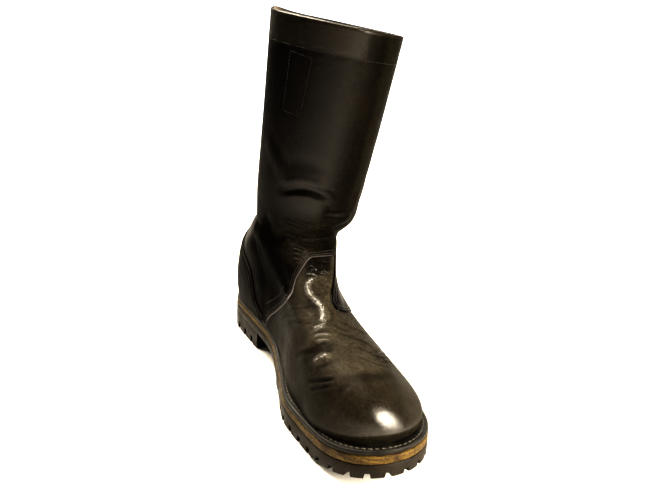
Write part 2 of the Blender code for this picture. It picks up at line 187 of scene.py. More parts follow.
# A crease: share of its length over which it ends, half widths that it reaches, height, place and breadth
# of its lips, and polish on a ridge
CREASE_END = 0.3
CREASE_REACH = 3.4
LIP_HEIGHT = 0.35
LIP_PLACE = 1.9
LIP_WIDTH = 0.7
RIDGE_POLISH = 0.8
VAMP_CREASES = {
    "puff_back": (2.2, -34, 3.12, -2, 2.2, 36, 3.5, 0.3),
    "puff_inner": (1.72, -54, 2.18, -43, 2.7, -30, 1.5, 0.9),
    "puff_lower": (1.6, -51, 1.98, -43, 2.45, -33, 1.3, 0.7),
    "puff_side": (2.02, -34, 2.36, -28, 2.8, -18, 2.0, 0.25),
    "ball_1": (3.35, 32, 2.28, 54, 1.9, 60, 1.3, 0.8),
    "ball_2": (3.45, 24, 2.54, 46, 1.82, 58, 1.3, 0.9),
    "ball_3": (3.35, 22, 2.6, 42, 1.72, 56, 1.3, 0.8),
    "ball_4": (3.17, 24, 2.56, 40, 1.82, 52, 1.2, 0.6),
    "instep_low": (5.55, -9, 5.28, -11, 4.95, -21, 3.4, -0.5),
    "bar_1": (4.31, -40, 4.83, -25, 5.05, -8, 1.4, -0.6),
    "bar_2": (4.07, -42, 4.71, -26, 4.91, -9, 1.3, -0.6),
    "bar_3": (3.89, -41, 4.45, -26, 4.59, -11, 1.8, -0.7),
    "bar_4": (3.55, -44, 4.12, -30, 4.32, -19, 1.8, -0.6),
    "ball_hollow": (2.2, -58, 3.6, -38, 4.0, -14, 5.0, 1.0),
    "ball_roll": (2.5, -50, 3.1, -41, 3.75, -26, 4.0, -1.5),
    "ball_long": (1.94, -66, 2.6, -56, 3.25, -45, 2.2, 0.5),
    "side_inner": (2.38, -81, 3.75, -59, 4.75, -37, 2.0, 0.5),
    "side_outer": (5.05, -2, 4.81, 11, 4.35, 26, 1.4, 0.4),
    "side_outer_low": (4.75, 0, 4.5, 14, 3.9, 32, 1.4, 0.4),
    "side_outer_far": (4.5, 8, 4.1, 24, 3.4, 42, 1.3, 0.4),
    "outer_1": (5.13, 7, 4.39, 33, 2.72, 58, 1.0, 0.4),
    "outer_2": (4.6, 12, 3.97, 30, 2.62, 48, 1.0, 0.45),
    "outer_3": (4.2, 6, 3.59, 26, 2.24, 47, 1.0, 0.45),
    "outer_4": (3.87, 2, 3.35, 20, 2.32, 39, 1.0, 0.4),
    "instep_dip": (5.7, -30, 5.45, -28, 5.15, -34, 6.5, 0.6),
    "inner_1": (4.73, -52, 5.23, -38, 5.43, -22, 1.1, 0.35),
    "inner_2": (2.9, -81, 4.33, -61, 4.85, -47, 1.2, 0.4),
    "inner_3": (1.94, -90, 2.86, -78, 4.07, -57, 1.2, 0.4),
    "inner_4": (3.83, -55, 4.37, -45, 4.53, -38, 1.1, 0.35),
    "tongue_dip": (6.55, -28, 6.36, -27, 6.18, -36, 4.5, 0.5),
    "tongue_1": (6.8, -18, 6.76, 0, 6.66, 20, 1.1, 0.6),
    "tongue_2": (6.65, -25, 6.56, -10, 6.45, 15, 1.0, -0.5),
    "tongue_3": (6.46, -27, 6.52, -15, 6.38, 9, 1.0, -0.5),
    "tongue_4": (6.55, -26, 6.46, -10, 6.42, 8, 0.8, 0.4),
    "tongue_5": (6.3, -33, 6.4, -20, 6.35, 3, 1.0, -0.5),
}
# Polished line that winds over the instep: number along the line, section number, angle
SHINE = {
    "tongue": (0, 6.36, 4), "top": (1, 6.33, -10), "shoulder": (2, 6.21, -22), "bend": (3, 5.96, -29.5),
    "under": (4, 5.74, -26), "cross": (5, 5.69, -17.5), "crest": (6, 5.55, -9), "turn": (7, 5.36, -8.5),
    "back": (8, 5.07, -17), "end": (9, 4.6, -31),
}
SHINE_WIDTH = 2.5
SHINE_HEIGHT = 0.6
TOE_SHINE = (1.62, -1.0)
TOE_SHINE_REACH = 23.0
SHAFT_CREASES = {
    "fold_line": (9.9, -68, 10.14, -36, 9.9, -4, 3.2, 1.7),
    "fold_crest": (10.06, -66, 10.3, -38, 10.1, -10, 7.0, -0.9),
    "fold_below": (9.74, -52, 9.93, -30, 9.7, 0, 6.0, -0.5),
    "pinch_line": (9.63, -18, 9.62, 0, 9.62, 20, 1.6, 0.8),
    "front_roll": (8.98, -8, 9.28, 5, 9.44, 24, 4.0, -1.5),
    "roll_under": (8.75, 22, 8.2, 10, 7.65, -20, 3.0, 0.7),
    "corner_ridge": (9.6, 22, 9.85, 24, 10.2, 25, 4.0, -0.8),
    "net_1": (9.1, -56, 8.97, -40, 8.85, -24, 1.5, 0.5),
    "net_2": (9.22, -48, 9.1, -36, 9.0, -20, 1.4, 0.5),
    "net_3": (8.9, -58, 8.78, -42, 8.7, -26, 1.4, 0.5),
    "inner_streak": (10.62, -92, 10.46, -75, 10.2, -60, 6.0, -0.5),
    "inner_hollow": (8.85, -84, 8.3, -77, 7.3, -76, 6.0, 1.4),
    "inner_roll": (7.1, -114, 6.85, -97, 6.4, -86, 5.0, -1.0),
    "ankle_band": (8.1, -46, 7.1, -66, 6.4, -84, 4.0, 0.9),
    "ankle_1": (8.3, -56, 8.1, -36, 7.95, -10, 1.8, 0.6),
    "ankle_2": (7.8, -54, 7.7, -34, 7.55, -8, 1.6, 0.5),
    "ankle_3": (7.45, -50, 7.4, -34, 7.3, -14, 1.4, 0.5),
    "ankle_outer": (8.2, 30, 8.1, 50, 8.3, 76, 2.2, 0.9),
    "ankle_outer_low": (7.6, 34, 7.55, 52, 7.7, 74, 1.8, 0.7),
    "fan_1": (6.73, -50, 6.78, -38, 6.85, -28, 1.1, 0.5),
    "fan_2": (6.95, -48, 6.95, -38, 6.98, -29, 1.1, 0.5),
    "fan_3": (7.15, -46, 7.12, -36, 7.1, -27, 1.1, 0.5),
    "stroke_1": (6.6, -49, 6.67, -40, 6.7, -33, 0.9, -0.4),
    "stroke_2": (6.51, -46, 6.57, -38, 6.61, -32, 0.9, -0.4),
    "stroke_3": (6.76, -43, 6.8, -35, 6.8, -28, 0.9, -0.4),
    "stroke_4": (6.63, -62, 6.75, -49, 6.87, -37, 1.0, -0.4),
    "back_1": (8.2, 120, 8.0, 150, 8.1, 178, 3.0, 1.6),
    "back_2": (8.1, -178, 8.0, -150, 8.2, -118, 3.0, 1.6),
    "outer_fold": (9.7, 40, 9.9, 70, 9.6, 104, 3.4, 1.5),
    "outer_crest": (10.0, 38, 10.2, 70, 9.9, 106, 6.0, -1.0),
}

# Lines of stitches beside the shaft's lower edge: first and last column, distance from the edge
EDGE_STITCHES = ((-106, 106, 2.0), (-106, 106, 4.4), (-104, -82, 12.5), (88, 107, 12.5))
# Stitches of the counter: first and last angle, distance from its edge
COUNTER_STITCHES = (118, 178, 2.4)
# Stitched rectangle over each strap: section number and angle of its corners, degrees that count as a section
STRAP_CORNERS = ((11.66, 70), (11.64, 49), (11.02, 54), (11.04, 72), (11.66, 70))
STRAP_SCALE = 20
BAND_SECTION = 11.72
# Furrows along the stitches and along the shaft's edge: half width and depth
STITCH_FURROW = (0.8, 0.2)
EDGE_FURROW = (1.2, 0.2)
EDGE_REACH = 106
# One stitch: place along its length and share of its thickness, points round it, then bow, sink and
# flatness as shares of its radius
STITCH_STATIONS = ((-0.5, 0.35), (-0.36, 0.9), (0.0, 1.0), (0.36, 0.9), (0.5, 0.35))
STITCH_SIDES = 6
STITCH_BOW = 0.6
STITCH_SINK = 0.25
STITCH_FLATNESS = 0.8
# Length, pitch and radius of the stitches
SEAM_STITCH = (1.7, 2.4, 0.26)
WELT_STITCH = (3.4, 4.4, 0.5)
# Distance of the welt's furrow from the edge of the sole
WELT_FURROW = 4.4

# Rounded edges: share of the way from the edge, share of the thickness
SHAFT_ROUND = np.array([(0.0, -0.4), (0.0012, 0.35), (0.0035, 0.75), (0.007, 0.95)])
COUNTER_ROUND = np.array([(0.0, 0.0), (0.003, 0.5), (0.008, 0.82), (0.016, 0.97)])
LOOP_ROUND = np.array([(0.0, 0.0), (0.03, 0.6), (0.08, 0.9), (0.15, 1.0)])
# Collar's rim: share of the way over the wall, height
COLLAR_ROUND = ((0.1, 0.4), (0.35, 0.7), (0.65, 0.7), (0.9, 0.4), (1.0, 0.0))
# Edges of the sole's layers: distance inwards from the outline, distance from the layer's face
WELT_PROFILE = ((16, 0), (16, WELT_THICK), (5.6, WELT_THICK), (WELT_FURROW, WELT_THICK - 0.35),
                (3.2, WELT_THICK), (WELT_INSET + 0.9, WELT_THICK - 0.1), (WELT_INSET + 0.3, WELT_THICK - 0.6),
                (WELT_INSET, WELT_THICK - 1.3), (WELT_INSET, 0.5), (WELT_INSET + 0.5, 0))
MIDSOLE_PROFILE = ((16, 0), (0.9, 0), (0.45, 0.3), (0.3, 0.9))
MIDSOLE_MIDDLE = (0.25, 2.1)
TREAD_PROFILE = ((14.0, 0.0), (0.4, 0.0), (0.0, 0.8))
TREAD_LIP = 0.6
TREAD_BEVEL = 0.2
TREAD_EDGE = 0.02
TREAD_STEP = 1.8
NOTCH_SLOPE = 0.35
# Footbed: shares of the way to its middle, depth of its hollow and of its edge
FOOTBED_SHARES = (0, 0.02, 0.06, 0.2, 0.4, 0.6, 0.8, 1)
FOOTBED_HOLLOW = 1.2
FOOTBED_EDGE = 0.8
# Ends of the middle lines that footbed and outsole close on, and the heel's middle
FOOTBED_SPINE = (50, 245)
OUTSOLE_SPINE = (45, 262)
HEEL_MIDDLE = (HEEL_BREAST / 2, 1.5)
# Shares of the way from the edge to the middle: plain centre of the outsole, gap between the rows of lugs,
# half of a lug's flank, depth of the heel's notches
OUTSOLE_CENTRE = 0.8
LUG_ROW = 0.16
LUG_FLANK = 0.012
HEEL_RIM = 0.34

# Colours, darker one first where there are two
COLOURS = {
    "leather": ((0.0003, 0.00025, 0.0002), (0.0012, 0.0009, 0.0006)),
    "scuff": (0.042, 0.036, 0.025),
    "raw_edge": (0.2, 0.185, 0.188),
    "strap": ((0.0035, 0.003, 0.0025), (0.012, 0.0105, 0.0085)),
    "lining": ((0.14, 0.1, 0.065), (0.27, 0.2, 0.14)),
    "facing": (0.006, 0.005, 0.004),
    "tan": ((0.034, 0.019, 0.0037), (0.09, 0.057, 0.0125)),
    "burnt": (0.018, 0.0085, 0.0018),
    "dirt": (0.007, 0.0035, 0.001),
    "rubber": ((0.0062, 0.0044, 0.0024), (0.028, 0.02, 0.0115)),
    "grey_thread": ((0.012, 0.01, 0.011), (0.05, 0.043, 0.046)),
    "dark_thread": ((0.0008, 0.0007, 0.0005), (0.003, 0.0025, 0.002)),
    "pale_thread": ((0.02, 0.018, 0.015), (0.09, 0.08, 0.068)),
    "floor": ((0.53, 0.52, 0.505), (0.56, 0.55, 0.535)),
    "sheen": (1.0, 0.78, 0.5, 1),
    "light": (1.0, 0.9, 0.74),
    "room": (1.0, 0.88, 0.7, 1),
}
# Plain reflection of the leather under its polish
SHAFT_SPECULAR = 0.005
VAMP_SPECULAR = 0.026

# Camera: place in the boot's frame, angles in degrees of the way it looks, focal length and width of the
# photo in pixels, and the turn that brings the boot to the middle of the frame
CAMERA_PLACE = (574.8, -200.4, 279.2)
CAMERA_TURN = 19.53
CAMERA_PITCH = 19.5
CAMERA_ROLL = -1.16
FOCAL_LENGTH = 620
PHOTO_WIDTH = 670
CAMERA_PAN = 6.35
# Lights: azimuth and elevation seen from the boot, distance and breadths in metres, power, spread, aim
BOOT_MIDDLE = (150, -5, 90)
LIGHTS = {
    "toe_light": (24, 22, 1.3, (1.25, 0.9), 88),
    "ridge_light": (-161, 50, 1.4, (0.9, 0.9), 68),
    "top_light": (178, 83, 1.5, (0.45, 0.45), 13),
    "back_light": (-20, 55, 2.0, (2.0, 2.0), 95, 80, (-1700, 900, 300)),
}
ROOM_GLOW = 0.1
# Floor and backdrop, in metres from the middle of the frame
FLOOR_ENDS = (4.0, -1.6)
FLOOR_SWEEP = 1.2
FLOOR_TOP = 4.0
FLOOR_HALF = 5.0
BACKDROP_RADIUS = 1.25
BACKDROP_GLOW = 2.0


def smooth(x):
    x = np.clip(x, 0, 1)
    return x * x * (3 - 2 * x)


def fade(x, zero, one):
    """Soft step that is 0 at the first place and 1 at the second."""
    return smooth((x - zero) / (one - zero))


def bell(x, middle, reach):
    """Soft bump that is 1 at its middle."""
    return np.exp(-((x - middle) / reach) ** 2)


def cap(x):
    """Quarter round from 0 at an end to 1 where the full breadth is reached."""
    x = np.clip(x, 0, 1)
    return np.sqrt(np.maximum(1 - (1 - x) ** 2, 0))


def curve(table, x, column=1):
    """Smooth curve through the rows of a table, never beyond two neighbouring rows."""
    rows = np.array(list(table.values()), float)
    xs = rows[:, 0]
    ys = rows[:, column]
    step = np.diff(xs)
    rise = np.diff(ys) / step
    slope = np.zeros(len(xs))
    total = rise[:-1] + rise[1:]
    same = rise[:-1] * rise[1:] > 0
    slope[1:-1] = np.where(same, 2 * rise[:-1] * rise[1:] / np.where(total == 0, 1, total), 0)
    slope[0] = rise[0]
    slope[-1] = rise[-1]
    x = np.clip(np.asarray(x, float), xs[0], xs[-1])
    i = np.clip(np.searchsorted(xs, x) - 1, 0, len(step) - 1)
    t = (x - xs[i]) / step[i]
    start = (1 + 2 * t) * (1 - t) ** 2 * ys[i] + t * (1 - t) ** 2 * step[i] * slope[i]
    end = t * t * (3 - 2 * t) * ys[i + 1] + t * t * (t - 1) * step[i] * slope[i + 1]
    return start + end


def section(s):
    """Values of the section columns at section number s, whole or between two rows."""
    s = np.clip(s, 0, TOP_SECTION)
    i = np.clip(np.floor(s).astype(int), 0, TOP_SECTION - 1)
    t = (s - i)[..., None]
    first = 2 * SECTION_TABLE[:1] - SECTION_TABLE[1:2]
    last = 2 * SECTION_TABLE[-1:] - SECTION_TABLE[-2:-1]
    rows = np.concatenate([first, SECTION_TABLE, last])
    a, b, c, d = rows[i], rows[i + 1], rows[i + 2], rows[i + 3]
    value = b + 0.5 * t * (c - a + t * (2 * a - 5 * b + 4 * c - d + t * (3 * b - a - 3 * c + d)))
    return dict(zip(SECTION_COLUMNS, np.moveaxis(value, -1, 0)))


def spring(x):
    return TOE_SPRING * np.maximum((x - SPRING_START) / (SOLE_LENGTH - SPRING_START), 0) ** 2


def midsole_top(x):
    return curve(SEAT, x) + spring(x)


def midsole_base(x):
    """Lower face of the midsole, which grows thicker towards the toe."""
    return midsole_top(x) - MIDSOLE_THICK - TOE_EXTRA * fade(x, EXTRA_START, SOLE_LENGTH)


def feather_height(x):
    """Lower edge of the upper, just clear of the welt."""
    return midsole_top(x) + 2 * GAP + WELT_THICK


def surface(s, angle):
    """Outer face of the upper at section number s and angle, 0 at the front and a half turn at the back."""
    s, angle = np.broadcast_arrays(np.asarray(s, float), np.asarray(angle, float))
    v = section(s)
    along = 0.5 + 0.5 * np.cos(angle)
    x = v["back_x"] + along * (v["front_x"] - v["back_x"])
    breadth = v["rear"] + (v["mid"] - v["rear"]) * fade(along, *REAR_BLEND)
    breadth = breadth + (v["fore"] - v["mid"]) * fade(along, *FORE_BLEND)
    half = breadth * cap((x - v["back_x"]) / v["cap_back"]) * cap((v["front_x"] - x) / v["cap_front"])
    side = half * np.sign(np.sin(angle))
    middle = curve(FOOT_AXIS, x) * fade(s, *FOOT_BLEND)
    middle = middle + v["sway_back"] + along * (v["sway_front"] - v["sway_back"])
    level = v["back_z"] + along * (v["front_z"] - v["back_z"])
    base = SECTIONS["feather"][1]
    z = level + (feather_height(x) - base) * fade(s, *WELT_BLEND) - v["cant"] * side
    around = np.degrees(angle - 2 * math.pi * np.round(angle / (2 * math.pi)))
    z = z + RISE_HEIGHT * bell(around, RISE_ANGLE, RISE_REACH) * fade(s, TOP_SECTION - 1, TOP_SECTION)
    return np.stack([x, middle + side, z], -1)


def unit(vectors):
    return vectors / np.linalg.norm(vectors, axis=-1, keepdims=True)


def normals(s, angle):
    d = 1e-3
    across = surface(s, angle + d) - surface(s, angle - d)
    up = surface(np.minimum(s + d, TOP_SECTION), angle) - surface(np.maximum(s - d, 0), angle)
    return unit(np.cross(across, up))


def shell(s, angle, offset):
    """Point at a distance from the upper's outer face, along its normal."""
    return surface(s, angle) + normals(s, angle) * np.asarray(offset)[..., None]


def plan(x):
    """Middle line and half breadth of the sole's outline at x."""
    half = curve(PLAN, x, PLAN_COLUMNS.index("half"))
    half = half * cap(x / HEEL_CAP) * cap((SOLE_LENGTH - x) / TOE_CAP)
    return curve(PLAN, x, PLAN_COLUMNS.index("axis")), half


def sole_edge(angle):
    """Outline of the sole at an angle, counted as on the upper."""
    x = SOLE_LENGTH * (0.5 + 0.5 * np.cos(angle))
    middle, half = plan(x)
    return np.stack([x, middle + np.sign(np.sin(angle)) * half], -1)


def side_line(side):
    """Fine line of the sole's edge from toe tip to heel back on one side."""
    return sole_edge(side * np.linspace(0, math.pi, 1200))


def whole_outline():
    return sole_edge(np.linspace(0, 2 * math.pi, 4001))


def line_run(line):
    """Length along a line at each of its points."""
    return np.append(0, np.cumsum(np.linalg.norm(np.diff(line, axis=0), axis=1)))


def along_line(line, places, values=None):
    """Points of a line at the given lengths, or other values that go with its points."""
    run = line_run(line)
    values = line if values is None else values
    return np.stack([np.interp(places, run, column) for column in values.T], -1)


def even_outline(count):
    """Outline of the sole with even steps, from the toe tip over the outer side and back."""
    loop = whole_outline()
    return along_line(loop, np.arange(count) * line_run(loop)[-1] / count)


def whole_turn(count):
    return np.arange(count) * 2 * math.pi / count


def inset(loop, distance):
    """The loop moved inwards, square to its own edge."""
    along = unit(np.roll(loop, -1, axis=0) - np.roll(loop, 1, axis=0))
    inward = np.stack([-along[:, 1], along[:, 0]], -1)
    middle = np.stack([loop[:, 0], plan(loop[:, 0])[0]], -1)
    facing = np.sum(np.sign(np.sum(inward * (middle - loop), axis=1)))
    return loop + inward * math.copysign(1, facing) * distance


def frame_shift():
    """Place of the boot's own zero in the loaded frame, from the outsole that both share."""
    low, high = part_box("outsole")
    sides = whole_outline()[:, 1]
    return np.array([low.x / MM, (low.y + high.y) / 2 / MM - (sides.min() + sides.max()) / 2, 0])


SHIFT = frame_shift()


def place(points):
    return (np.asarray(points, float) + SHIFT) * MM


def grid_faces(rows, columns, closed=False, flipped=False, first=0):
    """Quads of a grid of points numbered row by row."""
    ids = first + np.arange(rows * columns).reshape(rows, columns)
    if closed:
        ids = np.concatenate([ids, ids[:, :1]], axis=1)
    quads = np.stack([ids[:-1, :-1], ids[:-1, 1:], ids[1:, 1:], ids[1:, :-1]], -1).reshape(-1, 4)
    return (quads[:, ::-1] if flipped else quads).tolist()


def add_object(name, data):
    obj = bpy.data.objects.new(name, data)
    bpy.context.scene.collection.objects.link(obj)
    return obj


def add_piece(name, points, faces, material, node=None, values=None, sharp=40):
    """A mesh that rides on the boot. values holds named numbers for each point, for the material."""
    mesh = bpy.data.meshes.new(name)
    mesh.from_pydata(place(points).reshape(-1, 3).tolist(), [], faces)
    mesh.update()
    obj = add_object(name, mesh)
    mesh.materials.append(material)
    mesh.shade_smooth()
    mesh.set_sharp_from_angle(angle=math.radians(sharp))
    for key, numbers in (values or {}).items():
        kind, field = ("FLOAT", "value") if numbers.ndim == 1 else ("FLOAT_VECTOR", "vector")
        layer = mesh.attributes.new(key, kind, "POINT")
        layer.data.foreach_set(field, np.ascontiguousarray(numbers, np.float32).ravel())
    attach(obj, "root")
    if node:
        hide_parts(node)


def trough(points, line, width, depth, faded=True):
    """Height near a line on the leather: a trough with soft lips, or a ridge where depth is negative."""
    height = np.zeros(len(points))
    reach = CREASE_REACH * width
    near = np.all((points > line.min(0) - reach) & (points < line.max(0) + reach), axis=1)
    spots = points[near]
    run = line_run(line)
    distance = np.full(len(spots), np.inf)
    share = np.zeros(len(spots))
    for k in range(len(line) - 1):
        step = line[k + 1] - line[k]
        t = np.clip((spots - line[k]) @ step / (step @ step), 0, 1)
        away = np.linalg.norm(spots - line[k] - t[:, None] * step, axis=1)
        closer = away < distance
        distance = np.where(closer, away, distance)
        share = np.where(closer, (run[k] + t * (run[k + 1] - run[k])) / run[-1], share)
    u = distance / width
    ends = fade(share, 0, CREASE_END) * fade(share, 1, 1 - CREASE_END) if faded else 1.0
    height[near] = -depth * ends * (bell(u, 0, 1) - LIP_HEIGHT * bell(u, LIP_PLACE, LIP_WIDTH))
    return height


def through(a, b, c, t):
    """Value at t of the curve through a, b and c at 0, a half and 1."""
    return a * (1 - t) * (1 - 2 * t) + 4 * b * t * (1 - t) + c * t * (2 * t - 1)


def creases(table, points):
    """Height of all creases of a table at points of the outer face."""
    height = np.zeros(len(points))
    t = np.linspace(0, 1, 21)
    for row in table.values():
        v = dict(zip(CREASE_COLUMNS, row))
        s = through(v["s_a"], v["s_b"], v["s_c"], t)
        angle = np.radians(through(v["angle_a"], v["angle_b"], v["angle_c"], t))
        height += trough(points, surface(s, angle), v["width"], v["depth"])
    return height


def shine_line():
    """Points of the winding polished line."""
    t = np.linspace(0, len(SHINE) - 1, 80)
    return surface(curve(SHINE, t, 1), np.radians(curve(SHINE, t, 2)))


def polish(points):
    """Share of polish near the winding line and on the ridges of the vamp, from 0 to 1."""
    ridges = {name: row[:-1] + (-RIDGE_POLISH,) for name, row in VAMP_CREASES.items() if row[-1] < 0}
    return np.clip(trough(points, shine_line(), SHINE_WIDTH, -1.0) + creases(ridges, points), 0, 1)


def beside(s, angle, distance):
    """Places moved square to a line on the upper, to its left as it runs."""
    d = 1e-3
    by_s = (surface(s + d, angle) - surface(s - d, angle)) / (2 * d)
    by_angle = (surface(s, angle + d) - surface(s, angle - d)) / (2 * d)
    tangent = unit(np.gradient(surface(s, angle), axis=0))
    move = np.cross(normals(s, angle), tangent) * distance
    jacobian = np.stack([by_s, by_angle], -1)
    change = np.stack([np.linalg.lstsq(j, m, rcond=None)[0] for j, m in zip(jacobian, move)])
    return s + change[:, 0], angle + change[:, 1]


def shaft_step(angle):
    """How far the shaft stands off the vamp."""
    return SHAFT_STEP * fade(np.abs(np.degrees(angle)), *STEP_FADE)


def shaft_edge(column):
    """Section numbers and angles of the shaft's lower edge at columns in degrees."""
    return curve(SHAFT_EDGE, column, EDGE_SECTION), np.radians(curve(SHAFT_EDGE, column, EDGE_ANGLE))


def seam_rows():
    """Lines of stitches on the upper: name, section numbers, angles, and how far they stand off."""
    rows = []
    for number, (first, last, distance) in enumerate(EDGE_STITCHES):
        s, a = beside(*shaft_edge(np.linspace(first, last, 3 * (last - first))), distance)
        rows.append((f"vamp_{number}", s, a, shaft_step(a)))
    first, last, distance = COUNTER_STITCHES
    back = np.linspace(first, last, 70)
    corners = np.array(STRAP_CORNERS) * (STRAP_SCALE, 1)
    strap_s, strap_angle = along_line(corners, np.linspace(0, line_run(corners)[-1], 90)).T
    for side, hand in ((1, "outer"), (-1, "inner")):
        s, a = beside(curve(COUNTER_LINE, back), side * np.radians(back), -side * distance)
        rows.append((f"counter_{hand}", s, a, np.full(len(a), COUNTER_GAP + COUNTER_THICK)))
        a = side * np.radians(strap_angle)
        rows.append((f"strap_{hand}", strap_s / STRAP_SCALE, a, shaft_step(a)))
    a = np.linspace(-math.pi, math.pi, 241)
    rows.append(("band", np.full(len(a), BAND_SECTION), a, shaft_step(a)))
    return rows


SEAM_ROWS = seam_rows()


def sewn(points, names):
    """Furrows that the named stitch lines press into the leather."""
    height = np.zeros(len(points))
    for name, s, angle, _ in SEAM_ROWS:
        if name.startswith(names):
            height += trough(points, surface(s, angle), *STITCH_FURROW, faded=False)
    return height


def skin_grid(points):
    """Distances over the leather across and along a grid of points, in metres."""
    across = np.linalg.norm(np.diff(points, axis=1), axis=2)
    along = np.linalg.norm(np.diff(points, axis=0), axis=2)
    u = np.concatenate([np.zeros((len(points), 1)), np.cumsum(across, axis=1)], axis=1)
    v = np.concatenate([np.zeros((1, points.shape[1])), np.cumsum(along, axis=0)])
    u = u - u[:, points.shape[1] // 2][:, None]
    return np.stack([u, v, np.zeros_like(u)], -1).reshape(-1, 3) * MM


def rounded(edge, body, start=True, end=True):
    """Shares over a strip with rounded edges, and how far it stands out at each."""
    first = edge if start else edge[:0]
    last = edge[::-1] if end else edge[:0]
    shares = np.concatenate([first[:, 0], body, 1 - last[:, 0]])
    return shares, np.concatenate([first[:, 1], np.ones(len(body)), last[:, 1]])


def raise_from(spots, s, angle, height):
    """Points of the outer face moved along its normals."""
    return spots + normals(s, angle).reshape(-1, 3) * height[:, None]


def vamp_looks(flat, s, degrees, height):
    """Polish, fine wrinkles and scuffed colour of the vamp with painted shade, by x, section number, degrees
    and height of the creases.
    """
    spots = flat.reshape(-1, 3)
    x = spots[:, 0]
    back = fade(x, 262, 248)
    crest = back * fade(s, 2.2, 3.2) * fade(degrees, -68, -42) * fade(degrees, 64, 38)
    upper = fade(degrees, -94, -64) * fade(degrees, 90, 60)
    tongue = fade(s, 6.36, 6.52) * fade(degrees, -36, -24) * fade(degrees, 24, 12)
    outer = fade(degrees, 12, 37) * fade(degrees, 66, 42)
    inner = fade(degrees, -36, -66)
    middle = surface(TOE_SHINE[0], math.radians(TOE_SHINE[1]))
    toe = bell(np.linalg.norm(spots - middle, axis=1), 0, TOE_SHINE_REACH)
    toe = toe * (1 - 0.85 * fade(degrees, 6, 32)) * fade(s, 2.6, 2.0)
    # Scuffed colour is strongest on the crest and fades down the lower sides. It is taken out of the tongue
    # under the shaft's overhang, which paints that shadow.
    wear_and_shade = (0.29 + 0.5 * crest - 0.08 * back) * (0.3 + 0.7 * upper) * (1 - 0.85 * tongue)
    return {
        "skin": skin_grid(flat),
        "gloss": 0.04 - 0.03 * inner + 0.88 * toe + 0.9 * back * polish(spots),
        "wrinkle": fade(x, 264, 224) * (0.42 + 0.3 * fade(s, 6, 6.5) + 0.35 * outer),
        # The scuffed colour is scaled by the crease height: darker in the troughs, a painted shade, and
        # lighter on the ridges.
        "wear_and_shade": wear_and_shade * np.clip(1 + 1.2 * height, 0.25, 1.4),
    }


def make_vamp(material):
    angle = np.radians(np.linspace(-VAMP_END, VAMP_END, 381))
    share = 1 - (1 - np.linspace(0, 1, 215)) ** 1.25
    s = share[:, None] * curve(VAMP_TOP, np.degrees(angle))[None]
    turn = np.broadcast_to(angle, s.shape)
    flat = surface(s, turn)
    spots = flat.reshape(-1, 3)
    height = creases(VAMP_CREASES, spots) * fade(s.ravel(), 0, 0.5)
    height += trough(spots, shine_line(), SHINE_WIDTH, -SHINE_HEIGHT)
    edge = surface(*shaft_edge(np.linspace(-EDGE_REACH, EDGE_REACH, 240)))
    height += trough(spots, edge, *EDGE_FURROW, faded=False)
    points = raise_from(spots, s, turn, height)
    values = vamp_looks(flat, s.ravel(), np.degrees(turn).ravel(), height)
    add_piece("vamp", points, grid_faces(*s.shape), material, values=values, sharp=60)


def collar_rim(angle):
    """Rings of points over the top of the wall, from its outer to its inner face."""
    step = shaft_step(angle)
    rings = []
    for across, lift in COLLAR_ROUND:
        ring = shell(np.full(len(angle), TOP_SECTION), angle, step - across * (WALL + step))
        rings.append(ring + (0, 0, lift))
    return np.stack(rings)


def shaft_looks(points, s, around, share, folds):
    """Polish, fine wrinkles, scuffed colour and pale lower edge of the shaft, with painted light and shade in
    them, by section number and degrees.
    """
    ankle = fade(s, 6.2, 6.6) * fade(s, 9.6, 8.8)
    band = fade(s, 11.71, 11.74) * fade(around, -4, -14) * fade(around, -110, -80)
    inner_half = fade(around, -125, -110) * fade(around, 50, 35)
    sheen = bell(around, -24, np.where(around < -24, 30, 13)) * (0.2 + 0.8 * fade(s, 9, 9.8))
    # Scuffed colour in the ankle's bends is scaled by the fold height: darker in the folds' troughs, a
    # painted shade.
    bends_with_fold_shade = ankle * bell(around, -34, 26) * np.clip(1 + 1.6 * folds, 0.3, 1.8)
    # Scuffed colour lies across the front and the outer front and thins towards the sides and back, which
    # stay black: part wear, part painted light on the front and painted shade on the sides.
    outer_front = fade(around, 8, 18) * fade(around, 60, 40)
    wear_and_shade = 0.08 * bell(around, -22, 42) + 0.34 * bends_with_fold_shade + 0.07 * outer_front
    return {
        "skin": skin_grid(points),
        "gloss": 0.13 - 0.12 * inner_half + 0.44 * sheen + 0.25 * band,
        "wrinkle": (0.05 + 0.4 * ankle) * fade(np.abs(around), 165, 135),
        "wear_and_shade": wear_and_shade + 0.12 * band + 0.12 * fade(s, 11.97, 12),
        # The pale raw edge is painted much brighter on its lower inner stretch, which lies in shade: painted
        # light there.
        "edge": (0.17 + 0.83 * fade(around, -48, -72)) * fade(around, 40, 20) * fade(share, 0.005, 0),
    }


def make_shaft(material):
    count = 500
    column = np.degrees(whole_turn(count)) - 180
    share, part = rounded(SHAFT_ROUND, np.linspace(0.012, 1, 168), end=False)
    start, angle = shaft_edge(column)
    s = start + share[:, None] * (TOP_SECTION - start)[None]
    fan = 1 - (1 - np.clip(share / FAN_SHARE, 0, 1)) ** 2
    turn = angle + fan[:, None] * (np.radians(column) - angle)[None]
    spots = surface(s, turn).reshape(-1, 3)
    share = share.repeat(count)
    folds = creases(SHAFT_CREASES, spots) * fade(share, 0.004, 0.034)
    height = folds + sewn(spots, ("vamp", "strap", "band")) + (part[:, None] * shaft_step(turn)).ravel()
    rim = collar_rim(np.radians(column))
    points = np.concatenate([raise_from(spots, s, turn, height).reshape(*s.shape, 3), rim])
    added = np.ones(len(rim) * count)
    values = shaft_looks(points, np.append(s, TOP_SECTION * added), np.tile(column, len(points)),
                         np.append(share, added), np.append(folds, 0 * added))
    faces = grid_faces(len(points), count, closed=True)
    add_piece("shaft", points, faces, material, "upper", values, sharp=60)


